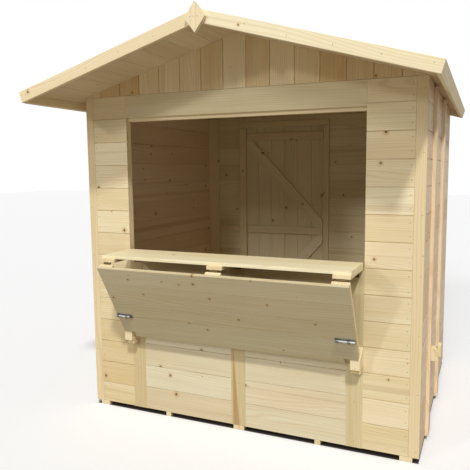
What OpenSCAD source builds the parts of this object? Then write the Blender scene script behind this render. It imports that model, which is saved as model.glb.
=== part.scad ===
// Timber market stall: boarded walls, gable roof with a front canopy, a serving hatch
// closed by a counter leaf and a folding flap, and a ledged and braced back door.
// Millimetres, +Z up, the serving front faces -Y.

/* [Walls] */
// outside width over the corner strips
wall_w = 2000; // [1900:10:2300]
// outside depth over the front and back boards
wall_d = 1600; // [1500:10:1900]
// height of the wall tops above the ground
wall_h = 1920; // [1900:5:2050]
// thickness of all wall, deck, roof and door boards
board_t = 18; // [16:1:22]
// width of the upright strip that covers each front corner
corner_strip_w = 55; // [45:1:70]
// width of the posts inside the corners
post_w = 90; // [70:1:110]
// thickness of the posts inside the corners
post_t = 25; // [20:1:35]

/* [Floor] */
// height of the joists
joist_h = 25; // [22:1:40]
// width of a single joist
joist_w = 32; // [28:1:45]
// width of the doubled joists at both sides
edge_joist_w = 64; // [50:1:80]
// distance of the outer joists from the wall face
edge_joist_inset = 33; // [20:1:45]
// gap between the two floor panels
panel_gap = 2; // [1:0.5:6]

/* [Serving hatch] */
// width of the opening
hatch_w = 1420; // [1300:10:1480]
// height of the sill above the ground
sill_h = 970; // [930:5:1000]
// height of the header's lower edge above the ground
head_h = 1790; // [1770:5:1810]
// free gap round both leaves
hatch_clear = 5; // [5:0.5:8]
// length of the counter leaf, from the sill to the fold
counter_len = 272; // [256:2:290]
// width of the battens on both leaves and of the strips below them
leaf_batten_w = 88; // [70:1:100]
// thickness of the battens on both leaves
leaf_batten_t = 20; // [18:1:26]
// how far the counter's boards stop short of the fold
fold_setback = 12; // [8:1:20]
// distance of the hanging flap's foot from the front wall
foot_gap = 32.1; // [20:0.1:45]
// width of the notch at the flap's lower corners
notch_w = 72; // [64:1:80]
// length of the notch at the flap's lower corners
notch_l = 34; // [28:1:40]
// how far the head lath shows below the header
head_lath_show = 20; // [14:1:26]
// width of the jamb battens and of the head lath
lath_w = 45; // [40:1:60]
// thickness of the jamb battens and of the head lath
lath_t = 27; // [20:1:32]

/* [Cleats] */
// width of the cleats
cleat_w = 50; // [44:1:56]
// how far the front cleats stand out from the wall
cleat_out = 80; // [72:1:88]
// height of the front cleats' outer face
cleat_h = 55; // [45:1:62]
// height of the block under each cleat
cleat_foot_h = 26; // [20:1:32]
// reach of the block under each front cleat
cleat_foot_out = 59; // [48:1:66]
// reach of the block under each side cleat
side_foot_out = 39; // [30:1:45]
// height of the side cleats' arm
side_cleat_h = 46; // [40:1:52]
// reach of the side cleats' arm
side_cleat_out = 52; // [46:1:60]
// rise of the side cleats' lip
side_lip_h = 22; // [16:1:28]
// thickness of the side cleats' lip
side_lip_t = 20; // [16:1:24]

/* [Side walls] */
// width of the upright battens outside the side walls
side_batten_w = 90; // [70:1:110]
// thickness of the upright battens outside the side walls
side_batten_t = 20; // [16:1:26]
// distance of the first batten from the front
side_batten_y1 = 264; // [220:2:320]
// distance of the second batten from the front
side_batten_y2 = 840; // [760:5:900]
// gap between the battens' tops and the wall top
side_batten_drop = 20; // [15:1:40]

/* [Roof] */
// slope of the roof
roof_deg = 16; // [14:0.5:18]
// clearance between the gable boards and the roof
seat_gap = 0.02; // [0.01:0.01:0.1]
// length of each slope, from the ridge to the outside of the eave board
slope_len = 1146; // [1135:1:1150]
// reach of the roof boards in front of the wall
canopy = 397; // [390:1:440]
// thickness of the barge and eave boards
trim_t = 20; // [18:1:24]
// width of the barge boards, square to the slope
barge_w = 60; // [50:1:75]
// width of the eave boards, square to the slope
eave_w = 62; // [50:1:75]
// height of the diamond on the canopy's peak
finial_h = 140; // [120:1:180]
// width of the diamond on the canopy's peak
finial_w = 108; // [90:1:120]
// how far the diamond's point stands above the barge boards
finial_rise = 27; // [10:1:60]

/* [Back door] */
// left edge of the doorway, from the middle of the stall
door_x = -647; // [-680:1:-620]
// width of the doorway
doorway_w = 710; // [680:1:760]
// top of the doorway above the ground
doorway_h = 1855; // [1820:5:1870]
// free gap round the door
door_clear = 5; // [5:0.5:8]
// width of the stop strip at the hinge side
stop_w_hinge = 60; // [50:1:70]
// width of the stop strip at the closing side
stop_w_close = 45; // [40:1:60]
// how far the stop strips cover the door
stop_cover = 15; // [12:1:20]
// thickness of the stop strips, ledges and braces
ledge_t = 20; // [16:1:24]
// height of the door's ledges
ledge_h = 62; // [55:1:80]
// middle height of the lower ledge
ledge_z1 = 170; // [150:5:220]
// middle height of the middle ledge
ledge_z2 = 982; // [950:2:1010]
// middle height of the upper ledge
ledge_z3 = 1760; // [1720:5:1775]
// width of the braces
brace_w = 80; // [60:1:90]

/* [Ironmongery] */
// radius of the leaf hinges' knuckles
hinge_r = 4; // [4:0.5:6]
// free gap between a knuckle and the timber it turns beside
pin_clear = 1; // [1:0.25:2]
// radius of the leaf hinges' pins
pin_r = 2; // [1.75:0.25:3]
// running gap between a pin and its bore
run_clear = 0.08; // [0.05:0.01:0.1]
// length of the leaf hinges' knuckles
hinge_len = 44; // [40:1:80]
// length of the hinge plates
plate_len = 36; // [30:1:75]
// thickness of the hinge and bolt plates
plate_t = 3; // [2:0.5:3]
// radius of the door hinges' knuckles
door_hinge_r = 6; // [5:0.5:7]
// radius of the door hinges' pins
door_pin_r = 3.5; // [3:0.25:4]
// height of the pintles below the door hinges' knuckles
pintle_h = 30; // [24:1:40]
// width of the pintles' plates on the wall
pintle_w = 70; // [50:1:90]
// length of the door hinges' straps
strap_len = 260; // [200:5:320]
// height of the door hinges' straps
strap_h = 40; // [30:1:50]
// length of the barrel bolts
bolt_len = 105; // [90:1:120]
// height of the barrel bolts' plates
bolt_h = 30; // [24:1:36]
// radius of the barrel bolts' rods
bolt_r = 6; // [5:0.5:7]
// distance of the barrel bolts from the fold
bolt_u = 350; // [320:2:360]

/* [Hidden] */
$fn = 48;
half_w = wall_w / 2;
inner_w = half_w - board_t;
panel_x = half_w - corner_strip_w;
open_x = hatch_w / 2;
leaf_x = open_x - hatch_clear;
leaf_gap = hatch_clear / 2;
hinge_off = hinge_r + pin_clear;
axis_y = -hinge_off;
axis_z = sill_h + leaf_gap;
fold_u = counter_len + hatch_clear;
flap_len = head_h - head_lath_show - sill_h - counter_len - 3 * hatch_clear;
flap_end = leaf_gap + flap_len;
flap_lean = asin((fold_u + hinge_off - foot_gap) / flap_end);
fold_deg = 90 + flap_lean;
notch_u = flap_end - notch_l;
cleat_u = notch_u + hatch_clear;
cleat_v = (axis_y - fold_u + cleat_u * sin(flap_lean) + cleat_out) / cos(flap_lean);
cleat_z = axis_z - cleat_u * cos(flap_lean) - cleat_v * sin(flap_lean) - cleat_h;
batten_v = hinge_off;
board_v = hinge_off + leaf_batten_t;
face_v = board_v + board_t;
batten_xs = [-leaf_x + leaf_batten_w / 2, 0, leaf_x - leaf_batten_w / 2];
strip_xs = [-open_x + leaf_batten_w / 2, 0, open_x - leaf_batten_w / 2];
deck_top = joist_h + board_t;
apex_under = wall_h + half_w * tan(roof_deg);
roof_rise = board_t / cos(roof_deg);
gable_x = half_w - seat_gap / tan(roof_deg);
apex_top = apex_under + roof_rise;
door_left = door_x + door_clear;
door_w = doorway_w - 2 * door_clear;
door_z0 = joist_h + door_clear;
door_z1 = doorway_h - door_clear;
door_in = wall_d - board_t + door_clear;
door_out = wall_d + door_clear;
door_axis_x = door_x + door_clear / 2;
door_axis_y = door_out + door_hinge_r;
ledge_x0 = door_x + stop_cover + door_clear;
ledge_x1 = door_x + doorway_w - stop_cover - door_clear;
front_y = -(canopy + 2 * trim_t);
back_y = wall_d + trim_t;
mid_y = (front_y + back_y) / 2;

// box between two corners
module box(a, b) {
    translate(a) cube(b - a);
}

// wall frame: front board face at Y = 0
module stall() {
    translate([0, -mid_y, 0]) children();
}

// leaf frame of the counter: u from its hinge along +Y, v from battens to boards along +Z
module on_counter() {
    stall() translate([0, axis_y, axis_z]) rotate([0, 0, 180]) children();
}

// leaf frame of the flap, hanging from the counter's fold
module on_flap() {
    on_counter() translate([0, fold_u, 0]) rotate([-fold_deg, 0, 0]) children();
}

// roof profile drawn across the stall, extruded from y0 to y1
module across(y0, y1) {
    translate([0, y1, 0]) rotate([90, 0, 0]) linear_extrude(y1 - y0) children();
}

// section along the right-hand slope: from the upright ridge cut down to the square-cut end
module slope_band(width, end) {
    intersection() {
        translate([0, apex_top]) rotate(-roof_deg) translate([-width, -width]) square([end + width, width]);
        square([2 * slope_len, 2 * apex_top]);
    }
}

// one gable triangle
module gable(y0) {
    color("burlywood") stall() across(y0, y0 + board_t)
        polygon([[-gable_x, wall_h], [gable_x, wall_h], [0, apex_under - seat_gap]]);
}

module floor_joists() {
    e0 = half_w - edge_joist_inset;
    e1 = e0 - edge_joist_w;
    c0 = panel_gap / 2;
    m0 = (e1 + c0 + joist_w) / 2 - joist_w / 2;
    color("tan") stall() for (s = [0, 1]) mirror([s, 0, 0]) {
        box([c0, 0, 0], [c0 + joist_w, wall_d, joist_h]);
        box([m0, 0, 0], [m0 + joist_w, wall_d, joist_h]);
        box([e1, 0, 0], [e0, wall_d, joist_h]);
    }
}

module floor_deck() {
    color("burlywood") stall() for (s = [0, 1]) mirror([s, 0, 0])
        box([panel_gap / 2, board_t, joist_h], [inner_w, wall_d - board_t, deck_top]);
}

module front_left_panel() {
    color("burlywood") stall() box([-panel_x, 0, joist_h], [-open_x, board_t, wall_h]);
}

module front_right_panel() {
    color("burlywood") stall() box([open_x, 0, joist_h], [panel_x, board_t, wall_h]);
}

// boards below the sill, in the two fields between the upright strips
module front_lower_panel() {
    color("burlywood") stall() for (s = [0, 1]) mirror([s, 0, 0])
        box([leaf_batten_w / 2, 0, joist_h], [open_x - leaf_batten_w, board_t, sill_h]);
}

module front_header() {
    color("burlywood") stall() box([-open_x, 0, head_h], [open_x, board_t, wall_h]);
}

module front_gable() {
    gable(0);
}

module corner_strips() {
    color("wheat") stall() for (s = [0, 1]) mirror([s, 0, 0])
        box([panel_x, 0, joist_h], [half_w, board_t, wall_h]);
}

module front_strips() {
    color("wheat") stall() for (x = strip_xs)
        box([x - leaf_batten_w / 2, 0, joist_h], [x + leaf_batten_w / 2, board_t, sill_h]);
}

// wedge blocks under the flap's lower corners, their tops cut square to the hanging flap
module front_cleats() {
    color("wheat") for (s = [0, 1]) mirror([s, 0, 0]) difference() {
        stall() {
            box([open_x - cleat_w, -cleat_out, cleat_z], [open_x, 0, sill_h - counter_len]);
            box([open_x - cleat_w, -cleat_foot_out, cleat_z - cleat_foot_h], [open_x, 0, cleat_z + 1]);
        }
        on_flap() box([-half_w, -fold_u, -half_w], [half_w, cleat_u, half_w]);
    }
}

module jamb_battens() {
    color("tan") stall() for (s = [0, 1]) mirror([s, 0, 0])
        box([open_x, board_t, sill_h], [open_x + lath_w, board_t + lath_t, head_h + lath_w - head_lath_show]);
}

module head_lath() {
    color("tan") stall() box([-open_x, board_t, head_h - head_lath_show],
        [open_x, board_t + lath_t, head_h + lath_w - head_lath_show]);
}

// boards of one side wall, between the front strip and the back panel
module side_boards() {
    color("burlywood") stall() box([inner_w, board_t, joist_h], [half_w, wall_d - board_t, wall_h]);
}

module left_wall() {
    mirror([1, 0, 0]) side_boards();
}

module right_wall() {
    side_boards();
}

module side_battens() {
    color("wheat") stall() for (s = [0, 1], y = [side_batten_y1, side_batten_y2]) mirror([s, 0, 0])
        box([half_w, y, joist_h], [half_w + side_batten_t, y + side_batten_w, wall_h - side_batten_drop]);
}

// lipped blocks on the first batten of each side wall
module side_cleats() {
    x0 = half_w + side_batten_t;
    y0 = side_batten_y1 + (side_batten_w - cleat_w) / 2;
    color("wheat") stall() for (s = [0, 1]) mirror([s, 0, 0])
        translate([0, y0 + cleat_w, 0]) rotate([90, 0, 0]) linear_extrude(cleat_w) polygon([
            [x0, cleat_z - cleat_foot_h], [x0 + side_foot_out, cleat_z - cleat_foot_h],
            [x0 + side_foot_out, cleat_z], [x0 + side_cleat_out, cleat_z],
            [x0 + side_cleat_out, cleat_z + side_cleat_h + side_lip_h],
            [x0 + side_cleat_out - side_lip_t, cleat_z + side_cleat_h + side_lip_h],
            [x0 + side_cleat_out - side_lip_t, cleat_z + side_cleat_h], [x0, cleat_z + side_cleat_h]]);
}

module corner_posts() {
    color("tan") stall() for (s = [0, 1], y = [board_t, wall_d - board_t - post_t]) mirror([s, 0, 0])
        box([inner_w - post_w, y, deck_top], [inner_w, y + post_t, wall_h]);
}

module back_left_panel() {
    color("burlywood") stall() box([-half_w, wall_d - board_t, joist_h], [door_x, wall_d, wall_h]);
}

module back_right_panel() {
    color("burlywood") stall() box([door_x + doorway_w, wall_d - board_t, joist_h], [half_w, wall_d, wall_h]);
}

module back_header() {
    color("burlywood") stall()
        box([door_x, wall_d - board_t, doorway_h], [door_x + doorway_w, wall_d, wall_h]);
}

module back_gable() {
    gable(wall_d - board_t);
}

// strips that the door closes against, with one over it, and the rail beside them on the back wall
module door_stops() {
    y1 = wall_d - board_t;
    y0 = y1 - ledge_t;
    x0 = door_x + stop_cover - stop_w_hinge;
    x1 = door_x + doorway_w - stop_cover;
    z1 = doorway_h - stop_cover;
    z2 = ledge_z2 - stop_w_close / 2;
    color("tan") stall() {
        box([x0, y0, deck_top], [x0 + stop_w_hinge, y1, z1 - panel_gap]);
        box([x1, y0, deck_top], [x1 + stop_w_close, y1, z1 - panel_gap]);
        box([x0, y0, z1], [x1 + stop_w_close, y1, z1 + stop_w_close]);
        box([post_w - inner_w + panel_gap, y0, z2], [x0 - panel_gap, y1, z2 + stop_w_close]);
    }
}

module roof_slope() {
    color("burlywood") stall() across(-canopy, wall_d) slope_band(board_t, slope_len - trim_t);
}

module roof_left() {
    mirror([1, 0, 0]) roof_slope();
}

module roof_right() {
    roof_slope();
}

// barge board on the end of one slope, its top level with the roof boards
module barge(y0) {
    color("wheat") stall() across(y0, y0 + trim_t) slope_band(barge_w, slope_len);
}

module barge_front_left() {
    mirror([1, 0, 0]) barge(-canopy - trim_t);
}

module barge_front_right() {
    barge(-canopy - trim_t);
}

module barge_back_left() {
    mirror([1, 0, 0]) barge(wall_d);
}

module barge_back_right() {
    barge(wall_d);
}

// eave boards across the ends of the roof boards, square to the slope
module eave_boards() {
    color("wheat") stall() for (s = [0, 1]) mirror([s, 0, 0]) across(-canopy, wall_d)
        translate([0, apex_top]) rotate(-roof_deg)
            translate([slope_len - trim_t, -eave_w]) square([trim_t, eave_w]);
}

module finial() {
    color("wheat") stall() translate([0, 0, apex_top + finial_rise - finial_h / 2])
        across(-canopy - 2 * trim_t, -canopy - trim_t)
            polygon([[0, -finial_h / 2], [finial_w / 2, 0], [0, finial_h / 2], [-finial_w / 2, 0]]);
}

module door_boards() {
    color("burlywood") stall() box([door_left, door_in, door_z0], [door_left + door_w, door_out, door_z1]);
}

module door_ledges() {
    color("wheat") stall() for (z = [ledge_z1, ledge_z2, ledge_z3])
        box([ledge_x0, door_in - ledge_t, z - ledge_h / 2], [ledge_x1, door_in, z + ledge_h / 2]);
}

// one brace between two ledges, from the hinge side at za to the closing side at zb
module brace(za, zb) {
    run = ledge_x1 - ledge_x0;
    rise = zb - za;
    across(door_in - ledge_t, door_in) intersection() {
        translate([ledge_x0, za]) rotate(atan2(rise, run)) translate([-brace_w, -brace_w / 2])
            square([norm([run, rise]) + 2 * brace_w, brace_w]);
        translate([ledge_x0, min(za, zb)]) square([run, abs(rise)]);
    }
}

module door_braces() {
    color("wheat") stall() {
        brace(ledge_z1 + ledge_h / 2, ledge_z2 - ledge_h / 2);
        brace(ledge_z3 - ledge_h / 2, ledge_z2 + ledge_h / 2);
    }
}

// strap hinges outside the door, their bored knuckles on the door's axis
module door_hinges() {
    color("silver") stall() for (z = [ledge_z1, ledge_z3]) difference() {
        union() {
            translate([door_axis_x, door_axis_y, z - strap_h / 2]) cylinder(r = door_hinge_r, h = strap_h);
            box([door_axis_x, door_out, z - strap_h / 2],
                [door_axis_x + strap_len, door_out + plate_t, z + strap_h / 2]);
        }
        translate([door_axis_x, door_axis_y, z - strap_h])
            cylinder(r = door_pin_r + run_clear, h = 2 * strap_h);
    }
}

// pintles on the wall beside the door: plate, seat under the knuckle and upright pin
module door_pintles() {
    color("silver") stall() for (z = [ledge_z1, ledge_z3]) {
        z0 = z - strap_h / 2 - pin_clear / 2;
        box([door_x - pintle_w, wall_d, z0 - pintle_h], [door_x, wall_d + plate_t, z0]);
        box([door_x - door_hinge_r, wall_d, z0 - pintle_h], [door_axis_x, door_axis_y, z0]);
        translate([door_axis_x, door_axis_y, z0 - pintle_h]) cylinder(r = door_hinge_r, h = pintle_h);
        translate([door_axis_x, door_axis_y, z0 - pintle_h]) cylinder(r = door_pin_r, h = pintle_h + strap_h);
    }
}

// battens of one leaf, each from the hinge to its own end in u1s
module leaf_battens(u1s) {
    for (i = [0:2]) box([batten_xs[i] - leaf_batten_w / 2, leaf_gap, batten_v],
        [batten_xs[i] + leaf_batten_w / 2, u1s[i], board_v]);
}

// plate of one hinge half and the tabs and knuckles over the spans [x0, x1]
module hinge_half(spans) {
    box([-hinge_len / 2, hinge_off, batten_v - plate_t], [hinge_len / 2, plate_len, batten_v]);
    for (x = spans) {
        box([x[0], leaf_gap, batten_v - plate_t], [x[1], hinge_off + plate_t, batten_v]);
        translate([x[0], 0, 0]) rotate([0, 90, 0]) cylinder(r = hinge_r, h = x[1] - x[0]);
    }
}

// half with the two end knuckles and the pin, one on each batten
module pin_halves() {
    k = hinge_len / 4 + run_clear;
    for (x = batten_xs) translate([x, 0, 0]) {
        hinge_half([[-hinge_len / 2, -k], [k, hinge_len / 2]]);
        translate([-hinge_len / 2, 0, 0]) rotate([0, 90, 0]) cylinder(r = pin_r, h = hinge_len);
    }
}

// half with the bored middle knuckle, one on each batten
module bore_halves() {
    k = hinge_len / 4 - run_clear;
    for (x = batten_xs) translate([x, 0, 0]) difference() {
        hinge_half([[-k, k]]);
        translate([-hinge_len, 0, 0]) rotate([0, 90, 0])
            cylinder(r = pin_r + run_clear, h = 2 * hinge_len);
    }
}

// pin halves on the strips below the sill
module sill_hinges() {
    color("silver") on_counter() mirror([0, 1, 0]) rotate([-90, 0, 0]) pin_halves();
}

module counter_boards() {
    color("burlywood") on_counter()
        box([-leaf_x, leaf_gap, board_v], [leaf_x, leaf_gap + counter_len - fold_setback, face_v]);
}

module counter_battens() {
    color("wheat") on_counter() leaf_battens([for (i = [0:2]) leaf_gap + counter_len]);
}

module counter_hinges() {
    color("silver") on_counter() bore_halves();
}

// pin halves on the counter's battens at the fold
module fold_hinges() {
    color("silver") on_counter() translate([0, fold_u, 0]) mirror([0, 1, 0]) pin_halves();
}

module flap_boards() {
    color("burlywood") on_flap() box([-leaf_x, leaf_gap, board_v], [leaf_x, notch_u, face_v]);
}

// lowest strip of the flap's boards, cut back at both ends to pass between the cleats
module flap_foot() {
    color("burlywood") on_flap()
        box([notch_w - leaf_x, notch_u, board_v], [leaf_x - notch_w, flap_end, face_v]);
}

module flap_battens() {
    color("wheat") on_flap() leaf_battens([notch_u, flap_end, notch_u]);
}

module flap_hinges() {
    color("silver") on_flap() bore_halves();
}

// barrel bolts on the flap's boarded face, one at each side
module flap_bolts() {
    color("silver") on_flap() for (s = [0, 1]) mirror([s, 0, 0]) translate([leaf_x, bolt_u, face_v]) {
        box([-bolt_len, -bolt_h / 2, 0], [0, bolt_h / 2, plate_t]);
        translate([-bolt_len + bolt_h / 2, 0, plate_t + bolt_r - 1]) rotate([0, 90, 0])
            cylinder(r = bolt_r, h = bolt_len - bolt_h / 2);
    }
}

floor_joists();
floor_deck();
front_left_panel();
front_right_panel();
front_lower_panel();
front_header();
front_gable();
corner_strips();
front_strips();
front_cleats();
jamb_battens();
head_lath();
left_wall();
right_wall();
side_battens();
side_cleats();
corner_posts();
back_left_panel();
back_right_panel();
back_header();
back_gable();
door_stops();
roof_left();
roof_right();
barge_front_left();
barge_front_right();
barge_back_left();
barge_back_right();
eave_boards();
finial();
sill_hinges();
door_pintles();
door_boards();
door_ledges();
door_braces();
door_hinges();
counter_boards();
counter_battens();
counter_hinges();
fold_hinges();
flap_boards();
flap_foot();
flap_battens();
flap_hinges();
flap_bolts();
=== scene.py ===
"""Wooden market stall: boarded walls, gable roof with a canopy, serving hatch and ledged door."""
import logging
import math
import random
from dataclasses import dataclass, field
from enum import Enum
from functools import cache
from typing import Callable, Optional, Sequence

import bmesh
import bpy
from mathutils import Matrix, Vector


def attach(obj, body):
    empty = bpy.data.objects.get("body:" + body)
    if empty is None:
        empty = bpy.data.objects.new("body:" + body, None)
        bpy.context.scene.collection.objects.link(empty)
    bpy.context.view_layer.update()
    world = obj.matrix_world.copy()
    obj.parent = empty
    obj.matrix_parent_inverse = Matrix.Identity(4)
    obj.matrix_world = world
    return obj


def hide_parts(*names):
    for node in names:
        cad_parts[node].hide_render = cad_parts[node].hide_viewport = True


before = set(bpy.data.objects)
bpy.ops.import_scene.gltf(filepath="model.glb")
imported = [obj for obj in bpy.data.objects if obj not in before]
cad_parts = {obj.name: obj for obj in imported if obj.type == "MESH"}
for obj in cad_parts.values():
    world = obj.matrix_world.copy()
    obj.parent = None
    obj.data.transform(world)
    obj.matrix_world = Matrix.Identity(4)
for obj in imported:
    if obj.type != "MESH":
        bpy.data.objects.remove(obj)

LOG = logging.getLogger("market_stall")
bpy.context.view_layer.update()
MM = 0.001
MIX_A, MIX_B, MIX_OUT = 6, 7, 2  # the colour sockets of a Mix node
ROUND, EASED, CRISP = 2.0, 1.5, 0.7  # bevels on a board's edges, in millimetres
JOINT = 1.7  # rebate that leaves a dark line between two tongued boards, in millimetres
FACING = 0.9  # least share of a normal along an axis that counts as facing that way
TOLERANCE = 1e-5
Triple = tuple[float, float, float]
Pair = tuple[float, float]
NO_PITH: Triple = (0.0, 0.0, 0.0)


class Axis(Enum):
    """The three directions of a frame."""

    X = 0
    Y = 1
    Z = 2


class Face(Enum):
    """The side of a board that shows, as a direction in its frame."""

    FRONT = (0, -1, 0)
    BACK = (0, 1, 0)
    LEFT = (-1, 0, 0)
    RIGHT = (1, 0, 0)
    TOP = (0, 0, 1)
    UNDER = (0, 0, -1)


class Pick(Enum):
    """What a selection in edit mode holds."""

    FACE = "faces"
    EDGE = "edges"


@dataclass(frozen=True)
class Stall:
    """Sizes in millimetres that several sub-assemblies share, in the wall frame."""

    half: float = 1000.0
    deep: float = 1600.0
    high: float = 1920.0
    board: float = 18.0
    joist: float = 25.0
    panel_x: float = 945.0
    open_x: float = 710.0
    sill: float = 970.0
    head: float = 1790.0
    slope: float = 16.0
    mid_y: float = 591.5
    pitch: float = 136.3
    joint: float = 1804.0

    @property
    def wall(self) -> Matrix:
        """The wall frame: front board face at Y = 0, in millimetres."""
        return Matrix.Scale(MM, 4) @ Matrix.Translation((0, -self.mid_y, 0))

    @property
    def inner(self) -> float:
        """Inner face of a side wall, from the middle."""
        return self.half - self.board

    @property
    def back(self) -> float:
        """Inner face of the back wall."""
        return self.deep - self.board

    @property
    def deck(self) -> float:
        """Height of the deck's top."""
        return self.joist + self.board

    @property
    def lean(self) -> float:
        """Slope of the roof in radians."""
        return math.radians(self.slope)

    @property
    def apex_under(self) -> float:
        """Height of the roof's underside at the ridge."""
        return self.high + self.half * math.tan(self.lean)

    @property
    def apex_top(self) -> float:
        """Height of the roof's top at the ridge."""
        return self.apex_under + self.board / math.cos(self.lean)

    def slope_frame(self, side: int) -> Matrix:
        """Frame of one roof slope: X down the slope, Y along the stall, Z out of the roof.

        Args:
            side: 1 for the right slope, -1 for the left one.

        Returns:
            The frame as a matrix that turns millimetres into metres in the row frame.
        """
        turn = Matrix.Rotation(self.lean, 4, "Y")
        ridge = self.wall @ Matrix.Translation((0, 0, self.apex_top))
        if side > 0:
            return ridge @ turn
        mid = Matrix.Translation((0, self.deep / 2, 0))
        return ridge @ mid @ Matrix.Rotation(math.pi, 4, "Z") @ mid.inverted() @ turn


STALL = Stall()


def linear(code: str) -> tuple[float, float, float, float]:
    """Turns an sRGB hex value into linear colour.

    Args:
        code: The colour as #rrggbb.

    Returns:
        Red, green, blue and alpha in linear light.
    """
    parts = [int(code[i:i + 2], 16) / 255 for i in (1, 3, 5)]
    return (*(c / 12.92 if c <= 0.04045 else ((c + 0.055) / 1.055) ** 2.4 for c in parts), 1.0)


def add_node(tree: bpy.types.NodeTree, kind: str, links: Optional[dict] = None,
             values: Optional[dict] = None, **settings: object) -> bpy.types.Node:
    """Adds a node with its settings, socket values and links.

    Args:
        tree: The node tree to add to.
        kind: The node's type name after ShaderNode.
        links: Input socket name or index to an output socket, or to a node for its first output.
        values: Input socket name or index to a plain value.
        settings: Properties of the node.

    Returns:
        The new node.
    """
    node = tree.nodes.new("ShaderNode" + kind)
    for key, value in settings.items():
        setattr(node, key, value)
    for key, value in (values or {}).items():
        node.inputs[key].default_value = value
    for key, source in (links or {}).items():
        socket = source.outputs[0] if isinstance(source, bpy.types.Node) else source
        tree.links.new(socket, node.inputs[key])
    return node


def blank(name: str) -> tuple[bpy.types.Material, bpy.types.NodeTree, bpy.types.Node]:
    """Makes a material that holds nothing but its shader.

    Args:
        name: The material's name.

    Returns:
        The material, its node tree and its shader.
    """
    mat = bpy.data.materials.new(name)
    mat.use_nodes = True
    return mat, mat.node_tree, mat.node_tree.nodes["Principled BSDF"]


@dataclass(frozen=True)
class Ramp:
    """One value that follows another: while that goes from low to high, this goes from start to end."""

    low: float
    high: float
    start: float = 0.0
    end: float = 1.0

    @property
    def sockets(self) -> dict[str, float]:
        """The ramp as socket values of a Map Range node."""
        return {"From Min": self.low, "From Max": self.high, "To Min": self.start, "To Max": self.end}


@dataclass(frozen=True)
class Noise:
    """An uneven pattern in wood: its repeats in a metre along and across the board, and how fine it is."""

    along: float
    across: float
    detail: float
    rough: float

    @property
    def scale(self) -> Triple:
        """The repeats as the scale of a Mapping node."""
        return (self.along, self.across, self.across)

    @property
    def sockets(self) -> dict[str, float]:
        """The rest as socket values of a Noise Texture node."""
        return {"Scale": 1.0, "Detail": self.detail, "Roughness": self.rough}


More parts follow.
